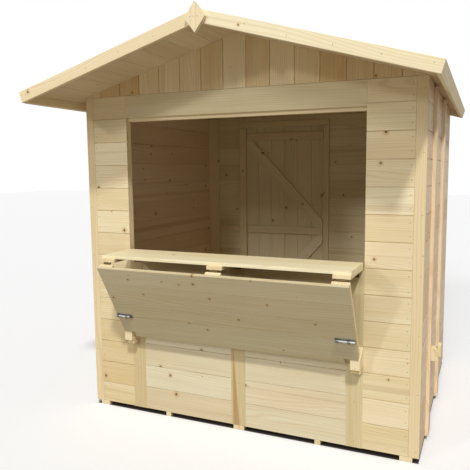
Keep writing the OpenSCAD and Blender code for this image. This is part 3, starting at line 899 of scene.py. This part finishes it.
@dataclass
class Inside:
    """Floor, corner posts, back wall and the strips that the door closes against."""

    shop: Workshop
    front: FrontWall
    joist_w: float = 32.0
    mid_joist: float = 452.0
    edge_joist: Pair = (97.0, 33.0)
    deck_joint: float = 1560.0
    deck_gap: float = 1.0
    door_x: float = -647.0
    doorway_w: float = 710.0
    doorway_h: float = 1855.0
    post_w: float = 90.0
    post_t: float = 25.0
    stop_hinge: float = 60.0
    stop_close: float = 45.0
    stop_t: float = 20.0
    cover: float = 15.0
    rail_z: float = 982.0
    gap: float = 2.0

    def build(self) -> None:
        """Builds the floor, the posts, the back wall and the strips at the door."""
        self.floor()
        self.posts()
        self.back_wall()
        self.stops()

    def floor(self) -> None:
        """Builds a deck in two panels, and three joists under each."""
        s, shop = STALL, self.shop
        joists = []
        edge0, edge1 = (s.half - x for x in self.edge_joist)
        for side in (-1, 1):
            for x0, x1 in ((self.deck_gap, self.deck_gap + self.joist_w),
                           (self.mid_joist, self.mid_joist + self.joist_w), (edge0, edge1)):
                a, b = sorted((side * x0, side * x1))
                joists.append(shop.board((a, 0, 0), (b, s.deep, s.joist), Axis.Y, Face.TOP))
        shop.finish("floor_joist_laths", joists, TRIM, "stall", "floor_joists")
        deck = []
        for x0, x1 in ((-s.inner, -self.deck_gap), (self.deck_gap, s.inner)):
            deck += shop.row((x0, s.board, s.joist), (x1, s.back, s.deck), Axis.Y, Axis.X, Face.TOP,
                             steps(self.deck_joint, s.pitch))
        shop.finish("floor_boards", deck, WALL_BOARD, "stall", "floor_deck")

    def posts(self) -> None:
        """Builds one post in each corner."""
        s, shop = STALL, self.shop
        posts = []
        for side in (-1, 1):
            a, b = sorted((side * (s.inner - self.post_w), side * s.inner))
            for y, face in ((s.board, Face.BACK), (s.back - self.post_t, Face.FRONT)):
                posts.append(shop.board((a, y, s.deck), (b, y + self.post_t, s.high), Axis.Z, face,
                                        ease=ROUND))
        shop.finish("corner_post_boards", posts, TRIM, "stall", "corner_posts")

    def back_wall(self) -> None:
        """Builds the boards beside and over the doorway, and the back gable."""
        s, shop = STALL, self.shop
        left, right = self.door_x, self.door_x + self.doorway_w
        for name, a, b in (("left", -s.half, left), ("right", right, s.half)):
            boards = shop.row((a, s.back, s.joist), (b, s.deep, s.high), Axis.Z, Axis.X, Face.BACK,
                              steps(s.joint, s.pitch))
            shop.finish(f"back_{name}_boards", boards, WALL_BOARD, "stall", f"back_{name}_panel")
        header = [shop.board((left, s.back, self.doorway_h), (right, s.deep, s.high), Axis.X, Face.BACK)]
        shop.finish("door_header_board", header, WALL_BOARD, "stall", "back_header")
        self.front.gable("back_gable_boards", s.back, Face.BACK, "back_gable")

    def stops(self) -> None:
        """Builds the strips beside and over the doorway, and the short rail next to them."""
        s = STALL
        a = self.door_x - self.stop_hinge + self.cover
        b = self.door_x + self.doorway_w - self.cover + self.stop_close
        top, rail = self.doorway_h - self.cover, self.rail_z - self.stop_close / 2
        stops = []
        for x0, x1, z0, z1, grain in (
                (a, a + self.stop_hinge, s.deck, top - self.gap, Axis.Z),
                (b - self.stop_close, b, s.deck, top - self.gap, Axis.Z),
                (a, b, top, top + self.stop_close, Axis.X),
                (self.post_w - s.inner + self.gap, a - self.gap, rail, rail + self.stop_close, Axis.X)):
            stops.append(self.shop.board((x0, s.back - self.stop_t, z0), (x1, s.back, z1), grain,
                                         Face.FRONT, ease=ROUND))
        self.shop.finish("door_stop_strips", stops, TRIM, "stall", "door_stops")


@dataclass
class Roof:
    """Two boarded slopes with barge boards, eave boards and the diamond on the peak."""

    shop: Workshop
    slope_len: float = 1146.0
    canopy: float = 397.0
    joints: int = 7
    groove: float = 0.8
    board_ease: float = 0.6
    board_over: float = 20.0
    trim: float = 20.0
    barge_w: float = 60.0
    barge_over: float = 70.0
    barge_tone: float = -0.08
    barge_nails: NailRow = NailRow(40.0, 212.0, 6)
    nail_stray: float = 8.0
    eave_w: float = 62.0
    diamond: Pair = (108.0, 140.0)
    diamond_rise: float = 27.0
    diamond_tone: float = -0.05
    diamond_nails: tuple[Pair, Pair, Pair] = ((-24.0, 2.0), (-6.0, 2.0), (16.0, 1.0))
    shy: float = 0.5

    def build(self) -> None:
        """Builds the roof; boards that meet at the ridge start past it and are sawn off there."""
        s, shop = STALL, self.shop
        ridge = Cut((0, 0, 0), (-math.cos(s.lean), 0, -math.sin(s.lean)))
        end = self.slope_len - self.trim
        marks = [-self.board_over, *(s.pitch * k for k in range(1, self.joints + 1)), end]
        eaves = []
        for side, name in ((-1, "left"), (1, "right")):
            at = s.slope_frame(side)
            y0, y1 = (-self.canopy, s.deep) if side > 0 else (0.0, s.deep + self.canopy)
            boards = [shop.board((a, y0, -s.board), (b, y1, 0), Axis.Y, Face.UNDER, frame_at=at,
                                 groove=self.groove, ease=self.board_ease, cuts=(ridge,) if a < 0 else ())
                      for a, b in zip(marks, marks[1:])]
            shop.finish(f"roof_{name}_boards", boards, ROOF_BOARD, "stall", f"roof_{name}")
            eaves.append(shop.board((end, y0, -self.eave_w), (self.slope_len, y1, 0), Axis.Y, Face.RIGHT,
                                    frame_at=at, ease=ROUND))
            for where in ("front", "back"):
                outer = (where == "front") == (side > 0)
                ya, yb = (y0 - self.trim + self.shy, y0) if outer else (y1, y1 + self.trim - self.shy)
                face, show_y = (Face.FRONT, ya) if outer else (Face.BACK, yb)
                barge = shop.board((-self.barge_over, ya, -self.barge_w), (self.slope_len, yb, 0), Axis.X,
                                   face, frame_at=at, ease=EASED, cuts=(ridge,), tone=self.barge_tone)
                for u in self.barge_nails.back_from(self.slope_len):
                    stray = shop.chance.uniform(-self.nail_stray, self.nail_stray)
                    shop.nail((u, show_y, -self.barge_w / 2 + stray), face, at)
                node = f"barge_{where}_{name}"
                shop.finish(f"{node}_board", [barge], ROOF_TRIM, "stall", node)
        shop.finish("eave_trim_boards", eaves, ROOF_TRIM, "stall", "eave_boards")
        self.peak()

    def peak(self) -> None:
        """Builds the diamond: a board sawn to four slanted edges, with three nails in a row."""
        s = STALL
        wide, tall = self.diamond
        z = s.apex_top + self.diamond_rise - tall / 2 - self.shy
        back = -self.canopy - self.trim
        front = back - self.trim + self.shy
        cuts = [Cut((0, back, z + k * tall / 2), (h * tall, 0, k * wide)) for k in (-1, 1) for h in (-1, 1)]
        board = self.shop.board((-wide / 2, front, z - tall / 2), (wide / 2, back, z + tall / 2), Axis.Z,
                                Face.FRONT, ease=0.0, cuts=cuts, tone=self.diamond_tone)
        for dx, dz in self.diamond_nails:
            self.shop.nail((dx, front, z + dz), Face.FRONT)
        self.shop.finish("peak_diamond", [board], ROOF_TRIM, "stall", "finial")


@dataclass
class Door:
    """Ledged and braced back door: upright boards, three ledges, two braces and its hinges' bolts."""

    shop: Workshop
    left: float = -642.0
    wide: float = 700.0
    foot: float = 30.0
    top: float = 1850.0
    inside: float = 1587.0
    outside: float = 1605.0
    board_w: float = 116.7
    joints: int = 5
    groove: float = 0.9
    ledge_t: float = 20.0
    ledge_h: float = 62.0
    ledges: Triple = (170.0, 982.0, 1760.0)
    ledge_x: Pair = (-627.0, 43.0)
    brace_w: float = 80.0
    axis_x: float = -644.5
    plate_t: float = 3.0
    strap_bolts: Triple = (60.0, 140.0, 235.0)
    pintle_screws: Pair = (-60.0, -33.0)
    pintle_drop: float = 36.0
    bolt_r: float = 7.0
    screw_r: float = 4.5
    head_out: float = 1.0
    head_t: float = 4.0
    head_dome: float = 1.6

    def build(self) -> None:
        """Builds the door."""
        shop, half = self.shop, self.ledge_h / 2
        joints = [self.left + self.board_w * k for k in range(1, self.joints + 1)]
        right = self.left + self.wide
        boards = shop.row((self.left, self.inside, self.foot), (right, self.outside, self.top), Axis.X,
                          Axis.Z, Face.BACK, joints, groove=self.groove)
        shop.finish("door_upright_boards", boards, WALL_BOARD, "door", "door_boards")
        x0, x1 = self.ledge_x
        y0, y1 = self.inside - self.ledge_t, self.inside
        ledges = [shop.board((x0, y0, z - half), (x1, y1, z + half), Axis.X, Face.FRONT, ease=ROUND)
                  for z in self.ledges]
        shop.finish("door_ledge_boards", ledges, WALL_BOARD, "door", "door_ledges")
        low, mid, high = self.ledges
        braces = [self.brace(low + half, mid - half, y0, y1), self.brace(high - half, mid + half, y0, y1)]
        shop.finish("door_brace_boards", braces, WALL_BOARD, "door", "door_braces")
        bolts = [self.stud(x, self.outside, z, self.bolt_r) for z in (low, high) for x in self.strap_bolts]
        shop.finish("door_strap_bolts", bolts, STEEL, "door")
        screws = [self.stud(x, STALL.deep, z - self.pintle_drop, self.screw_r)
                  for z in (low, high) for x in self.pintle_screws]
        shop.finish("door_pintle_screws", screws, STEEL, "stall")

    def stud(self, x: float, y: float, z: float, radius: float) -> bpy.types.Object:
        """Turns one domed bolt head that stands on a hinge plate.

        Args:
            x: Its place across the wall, from the hinge's axis.
            y: The face that carries the plate.
            z: Its height.
            radius: Its radius in millimetres.

        Returns:
            The head.
        """
        place = Matrix.Translation((self.axis_x + x, y + self.plate_t + self.head_out, z))
        at = STALL.wall @ place @ Matrix.Rotation(math.pi / 2, 4, "Z")
        return self.shop.rod(radius, self.head_t, at, self.head_dome)

    def brace(self, za: float, zb: float, y0: float, y1: float) -> bpy.types.Object:
        """Cuts one brace between two ledges.

        Args:
            za: Height at the hinge side.
            zb: Height at the closing side.
            y0: Its inner face.
            y1: Its outer face.

        Returns:
            The brace.
        """
        x0, x1 = self.ledge_x
        angle = math.atan2(zb - za, x1 - x0)
        long = math.hypot(x1 - x0, zb - za) + 2 * self.brace_w
        at = STALL.wall @ Matrix.Translation((x0, 0, za)) @ Matrix.Rotation(-angle, 4, "Y")
        back = at.inverted() @ STALL.wall
        low, high = sorted((za, zb))
        cuts = [Cut(tuple(back @ Vector(point)), tuple(back.to_3x3() @ Vector(normal)))
                for point, normal in (((x0, 0, za), (-1, 0, 0)), ((x1, 0, za), (1, 0, 0)),
                                      ((0, 0, low), (0, 0, -1)), ((0, 0, high), (0, 0, 1)))]
        return self.shop.board((-self.brace_w, y0, -self.brace_w / 2), (long, y1, self.brace_w / 2), Axis.X,
                               Face.FRONT, frame_at=at, ease=EASED, cuts=cuts)


@dataclass
class Hatch:
    """Counter leaf and hanging flap: boards on three battens each."""

    shop: Workshop
    axis_y: float = -5.0
    axis_z: float = 972.5
    fold_u: float = 277.0
    fold_deg: float = 118.9975
    leaf_x: float = 705.0
    gap: float = 2.5
    setback: float = 12.0
    counter_len: float = 272.0
    counter_board: float = 130.0
    counter_groove: float = 0.4
    flap_end: float = 515.5
    flap_pitch: float = 122.0
    flap_groove: float = 0.6
    foot_ease: float = 1.0
    notch_u: float = 481.5
    notch_w: float = 72.0
    batten_v: float = 5.0
    board_v: float = 25.0
    face_v: float = 43.0
    batten_w: float = 88.0

    @property
    def counter(self) -> Matrix:
        """Frame of the counter: Y out from its hinge, Z up."""
        hinge = Matrix.Translation((0, self.axis_y, self.axis_z))
        return STALL.wall @ hinge @ Matrix.Rotation(math.pi, 4, "Z")

    @property
    def flap(self) -> Matrix:
        """Frame of the hanging flap: Y from the fold to its foot, Z out of its boards."""
        turn = Matrix.Rotation(math.radians(-self.fold_deg), 4, "X")
        return self.counter @ Matrix.Translation((0, self.fold_u, 0)) @ turn

    def battens(self, at: Matrix, ends: Triple) -> list[bpy.types.Object]:
        """Cuts the three battens of one leaf.

        Args:
            at: The leaf's frame.
            ends: Where each batten ends.

        Returns:
            The battens.
        """
        half = self.batten_w / 2
        return [self.shop.board((x - half, self.gap, self.batten_v), (x + half, end, self.board_v), Axis.Y,
                                Face.UNDER, frame_at=at, ease=EASED)
                for x, end in zip((-self.leaf_x + half, 0, self.leaf_x - half), ends)]

    def build(self) -> None:
        """Builds both leaves; the flap's foot is narrower, so that it clears the cleats."""
        shop, x, end = self.shop, self.leaf_x, self.gap + self.counter_len
        top = shop.row((-x, self.gap, self.board_v), (x, end - self.setback, self.face_v), Axis.Y, Axis.X,
                       Face.TOP, [self.gap + self.counter_board], frame_at=self.counter,
                       groove=self.counter_groove, pith=NO_PITH)
        shop.finish("counter_top_boards", top, COUNTER, "counter", "counter_boards")
        shop.finish("counter_batten_boards", self.battens(self.counter, (end, end, end)), TRIM, "counter",
                    "counter_battens")
        boards = shop.row((-x, self.gap, self.board_v), (x, self.notch_u, self.face_v), Axis.Y, Axis.X,
                          Face.TOP, steps(self.notch_u, self.flap_pitch), frame_at=self.flap,
                          groove=self.flap_groove, pith=NO_PITH)
        shop.finish("flap_face_boards", boards, FLAP_BOARD_IN_PAINTED_SHADE, "flap", "flap_boards")
        foot = [shop.board((self.notch_w - x, self.notch_u, self.board_v),
                           (x - self.notch_w, self.flap_end, self.face_v), Axis.X, Face.TOP,
                           frame_at=self.flap, ease=self.foot_ease)]
        shop.finish("flap_foot_board", foot, FLAP_BOARD_IN_PAINTED_SHADE, "flap", "flap_foot")
        battens = self.battens(self.flap, (self.notch_u, self.flap_end, self.notch_u))
        shop.finish("flap_batten_boards", battens, TRIM, "flap", "flap_battens")


@dataclass
class BarrelBolts:
    """The flap's two barrel bolts: a screwed plate, two saddles and a rod with its knob."""

    shop: Workshop
    hatch: Hatch
    place_u: float = 350.0
    long: float = 105.0
    wide: float = 30.0
    plate_t: float = 3.0
    plate_ease: float = 0.9
    rod_r: float = 6.0
    rod_short: float = 17.0
    rod_out: float = 7.0
    rod_ease: float = 1.2
    bed: float = 1.0
    saddle_in: Pair = (34.0, 12.0)
    saddle_w: float = 14.0
    saddle_t: float = 2.5
    saddle_ease: float = 1.0
    knob_in: float = 4.0
    knob_h: float = 9.0
    knob_slim: float = 1.5
    screw_in: Pair = (7.0, 26.0)
    screw_edge: float = 5.0

    def build(self) -> None:
        """Builds one bolt at each side of the flap."""
        shop, hatch, flap = self.shop, self.hatch, self.hatch.flap
        half, wide, v = self.long / 2, self.wide / 2, hatch.face_v
        level = self.plate_t + self.rod_r - self.bed
        plates, rods = [], []
        for side in (-1, 1):
            a, b = sorted((side * hatch.leaf_x, side * (hatch.leaf_x - self.long)))
            mid = (a + b) / 2
            at = flap @ Matrix.Translation((mid, self.place_u, v))
            plates.append(shop.board(
                (a, self.place_u - wide, v), (b, self.place_u + wide, v + self.plate_t), Axis.X, Face.TOP,
                frame_at=flap, ease=self.plate_ease))
            for x in (-half + self.saddle_in[0], half - self.saddle_in[1]):
                saddle = shop.rod(self.rod_r + self.saddle_t, self.saddle_w,
                                  at @ Matrix.Translation((x, 0, level)), self.saddle_ease)
                shop.saw(saddle, at, Cut((0, 0, self.plate_t), (0, 0, -1)))
                plates.append(saddle)
            place = at @ Matrix.Translation((side * self.rod_out, 0, level))
            rods.append(shop.rod(self.rod_r, self.long - self.rod_short, place, self.rod_ease))
            knob = at @ Matrix.Translation((-side * self.knob_in, 0, level + self.rod_r))
            rods.append(shop.rod(self.rod_r - self.knob_slim, self.knob_h,
                                 knob @ Matrix.Rotation(math.pi / 2, 4, "Y"), self.rod_ease))
            for x in (-half + self.screw_in[0], half - self.screw_in[1]):
                for w in (-wide + self.screw_edge, wide - self.screw_edge):
                    shop.nail((mid + x, self.place_u + w, v + self.plate_t), Face.TOP, flap)
        shop.finish("bolt_plates", plates, BOLT_PLATE, "flap", "flap_bolts")
        shop.finish("bolt_rods", rods, BOLT_ROD, "flap")


@dataclass
class Cleats:
    """Front blocks sawn square to the hanging flap, and lipped blocks on the side walls' first battens."""

    shop: Workshop
    hatch: Hatch
    walls: SideWalls
    wide: float = 50.0
    out: float = 80.0
    high: float = 55.0
    clear: float = 5.0
    waste: float = 60.0
    foot_h: float = 26.0
    foot_out: float = 59.0
    foot_shade_tone: float = 0.3
    nail_up: float = 10.0
    side_foot: float = 39.0
    side_out: float = 52.0
    side_high: float = 46.0
    lip_in: float = 32.0
    lip_top: float = 68.0

    def build(self) -> None:
        """Builds the cleats of both sides."""
        s, shop, hatch = STALL, self.shop, self.hatch
        lean = math.radians(hatch.fold_deg - 90)
        u = hatch.notch_u + self.clear
        y, z = hatch.axis_y - hatch.fold_u + u * math.sin(lean), hatch.axis_z - u * math.cos(lean)
        low = z - (y + self.out) / math.cos(lean) * math.sin(lean) - self.high
        foot, top = low - self.foot_h, low + self.side_high
        square = Cut((0, y, z), (0, -math.sin(lean), math.cos(lean)))
        side_x = s.half + self.walls.batten_t
        side_y = self.walls.batten_at[0] + (self.walls.batten_w - self.wide) / 2
        front, sides = [], []
        for side, face in ((-1, Face.LEFT), (1, Face.RIGHT)):
            a, b = sorted((side * s.open_x, side * (s.open_x - self.wide)))
            front.append(shop.board((a, -self.out, low), (b, 0, z + self.waste), Axis.Z, Face.FRONT,
                                    ease=EASED, cuts=(square,)))
            # painted shade: the lower block under each front cleat gets a more honey tone, so that it reads
            # darker
            front.append(shop.board((a, -self.foot_out, foot), (b, 0, low), Axis.Z, Face.FRONT, ease=EASED,
                                    tone=self.foot_shade_tone))
            shop.nail(((a + b) / 2, -self.out, low + self.nail_up), Face.FRONT)
            for x0, x1, z0, z1 in ((0, self.side_foot, foot, low), (0, self.side_out, low, top),
                                   (self.lip_in, self.side_out, top, low + self.lip_top)):
                c, d = sorted((side * (side_x + x0), side * (side_x + x1)))
                sides.append(shop.board((c, side_y, z0), (d, side_y + self.wide, z1), Axis.Z, face,
                                        ease=EASED))
        shop.finish("front_cleat_blocks", front, TRIM, "stall", "front_cleats")
        shop.finish("side_cleat_blocks", sides, TRIM, "stall", "side_cleats")


@dataclass
class Kept:
    """Nodes whose shape is right as they are, each with its finish."""

    coats: dict[str, Finish] = field(default_factory=lambda: {
        "sill_hinges": HINGE_STEEL_IN_PAINTED_SHADE, "counter_hinges": HINGE_STEEL_IN_PAINTED_SHADE, "fold_hinges": HINGE_STEEL_IN_PAINTED_SHADE,
        "flap_hinges": HINGE_STEEL_IN_PAINTED_SHADE, "door_hinges": STEEL, "door_pintles": STEEL})

    def build(self) -> None:
        """Gives each of the nodes its finish."""
        for name, coat in self.coats.items():
            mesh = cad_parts[name].data
            mesh.materials.clear()
            mesh.materials.append(coat.material())
            LOG.info("%s: kept", name)


@dataclass(frozen=True)
class Lamp:
    """A far lamp: the direction that it shines from, its strength, its width in degrees and its colour."""

    name: str
    shines_from: Triple
    strength: float
    width: float
    colour: Triple = (1.0, 0.98, 0.94)


@dataclass
class Studio:
    """Camera, floor, a sheet of painted shade under the deck, and light."""

    eye: Triple = (1.2624, -3.306, 1.4806)
    yaw: float = 0.3931
    pitch: float = 0.1096
    roll: float = -0.0059
    focal_px: float = 545.25
    centre_px: Pair = (259.5, 230.34)
    image_px: float = 470.0
    sensor_mm: float = 36.0
    lamps: tuple[Lamp, ...] = (
        Lamp("key", (0.30, -0.55, 0.78), 2.15, 5.0, (1.0, 0.985, 0.96)),
        Lamp("fill", (0.0, -0.87, 0.49), 0.42, 10.0),
        Lamp("low_fill", (0.02, -0.93, 0.37), 0.12, 4.0),
        Lamp("left_fill", (-0.50, -0.81, 0.30), 0.44, 5.0))
    sky: float = 0.32
    sky_colour: Triple = (1.0, 0.97, 0.92)
    floor_m: float = 60.0
    floor_drop: float = 0.5
    floor_seen: str = "#f9fbff"
    floor_bounce: str = "#a09b94"
    floor_rough: float = 0.9
    shade_sheet_in: float = 4.0
    shade_sheet_drop: float = 0.2
    shade_sheet_pale: str = "#3d352b"
    shade_sheet_dark: str = "#241f19"
    shade_sheet_rough: float = 0.95
    shade_mottle_mm: float = 25 / 3

    def build(self) -> None:
        """Sets up camera, floor, painted shade under the deck and light."""
        self.camera()
        self.floor()
        self.lay_shade_sheet()
        self.light()
        bpy.context.scene.view_settings.view_transform = "Standard"

    def camera(self) -> None:
        """Puts the camera where it looks at the front from the right."""
        cp, sp = math.cos(self.pitch), math.sin(self.pitch)
        ahead = Vector((-math.sin(self.yaw) * cp, math.cos(self.yaw) * cp, -sp))
        right = Vector((math.cos(self.yaw), math.sin(self.yaw), 0))
        up = right.cross(ahead)
        c, s = math.cos(self.roll), math.sin(self.roll)
        right, up = c * right + s * up, c * up - s * right
        data = bpy.data.cameras.new("camera")
        data.sensor_width = self.sensor_mm
        data.lens = self.focal_px / self.image_px * self.sensor_mm
        data.shift_x = (self.image_px / 2 - self.centre_px[0]) / self.image_px
        data.shift_y = (self.centre_px[1] - self.image_px / 2) / self.image_px
        cam = bpy.data.objects.new("camera", data)
        cam.matrix_world = Matrix.Translation(self.eye) @ Matrix((right, up, -ahead)).transposed().to_4x4()
        bpy.context.scene.collection.objects.link(cam)
        bpy.context.scene.camera = cam

    @staticmethod
    def sheet(name: str, size: Pair, middle: Triple, mat: bpy.types.Material) -> None:
        """Lays one flat sheet of the studio.

        Args:
            name: Its name.
            size: Its width and depth in metres.
            middle: Its middle.
            mat: Its material.
        """
        bpy.ops.object.select_all(action="DESELECT")
        bpy.ops.mesh.primitive_plane_add(size=1.0, location=middle)
        obj = bpy.context.active_object
        obj.name = name
        obj.scale = (*size, 1)
        bpy.ops.object.transform_apply(location=True, rotation=False, scale=True)
        obj.data.materials.append(mat)

    def floor(self) -> None:
        """Lays a plain pale floor that throws less light back than the camera sees in it."""
        mat, tree, shader = blank("pale_floor")
        path = add_node(tree, "LightPath").outputs
        pale = add_node(tree, "Mix", {"Factor": path["Is Camera Ray"]}, {
            MIX_A: linear(self.floor_bounce), MIX_B: linear(self.floor_seen)}, data_type="RGBA")
        tree.links.new(pale.outputs[MIX_OUT], shader.inputs["Base Color"])
        shader.inputs["Roughness"].default_value = self.floor_rough
        self.sheet("studio_floor", (self.floor_m, self.floor_m), (0, 0, -self.floor_drop * MM), mat)

    def lay_shade_sheet(self) -> None:
        """Lays a dark sheet of painted shade under the deck, inside the walls' outline, so that the gap
        under the walls reads as shadow.
        """
        s = STALL
        # painted shade: a dark mottled sheet under the deck stands in for the shadow in the gap under the
        # walls
        mat, tree, shader = blank("damp_earth")
        coords = add_node(tree, "TexCoord").outputs["Object"]
        shade_mottle = add_node(tree, "TexNoise", {"Vector": coords},
                         {"Scale": 1 / (self.shade_mottle_mm * MM), "Detail": 3.0})
        shade_colour = add_node(tree, "Mix", {"Factor": shade_mottle.outputs["Fac"]},
                         {MIX_A: linear(self.shade_sheet_pale), MIX_B: linear(self.shade_sheet_dark)}, data_type="RGBA")
        tree.links.new(shade_colour.outputs[MIX_OUT], shader.inputs["Base Color"])
        shader.inputs["Roughness"].default_value = self.shade_sheet_rough
        size = ((2 * s.half - self.shade_sheet_in) * MM, (s.deep - self.shade_sheet_in) * MM)
        self.sheet("studio_ground", size, (0, (s.deep / 2 - s.mid_y) * MM, -self.shade_sheet_drop * MM), mat)

    def light(self) -> None:
        """Hangs a soft key lamp, three fill lamps and an even warm sky that the camera sees as white."""
        for lamp in self.lamps:
            data = bpy.data.lights.new(lamp.name, "SUN")
            data.energy = lamp.strength
            data.angle = math.radians(lamp.width)
            data.color = lamp.colour
            obj = bpy.data.objects.new(lamp.name, data)
            obj.matrix_world = Vector(lamp.shines_from).to_track_quat("Z", "Y").to_matrix().to_4x4()
            bpy.context.scene.collection.objects.link(obj)
        world = bpy.data.worlds.new("studio_sky")
        bpy.context.scene.world = world
        world.use_nodes = True
        tree = world.node_tree
        tree.nodes.clear()
        path = add_node(tree, "LightPath").outputs
        shiny = add_node(tree, "Math", {0: path["Is Glossy Ray"], 1: path["Is Transmission Ray"]},
                         operation="MAXIMUM")
        seen = add_node(tree, "Math", {0: path["Is Camera Ray"], 1: shiny}, operation="MAXIMUM")
        soft = add_node(tree, "Background", values={"Color": (*self.sky_colour, 1), "Strength": self.sky})
        white = add_node(tree, "Background", values={"Color": (1, 1, 1, 1), "Strength": 1.0})
        mix = add_node(tree, "MixShader", {0: seen, 1: soft, 2: white})
        add_node(tree, "OutputWorld", {"Surface": mix})


def main() -> None:
    """Builds the stall piece by piece, then the studio."""
    logging.basicConfig(level=logging.INFO, format="%(name)s %(message)s")
    shop = Workshop()
    front, walls, hatch = FrontWall(shop), SideWalls(shop), Hatch(shop)
    for assembly in (front, walls, Inside(shop, front), Roof(shop), Door(shop), hatch,
                     BarrelBolts(shop, hatch), Cleats(shop, hatch, walls), Kept(), Studio()):
        assembly.build()


if __name__ == "__main__":
    main()
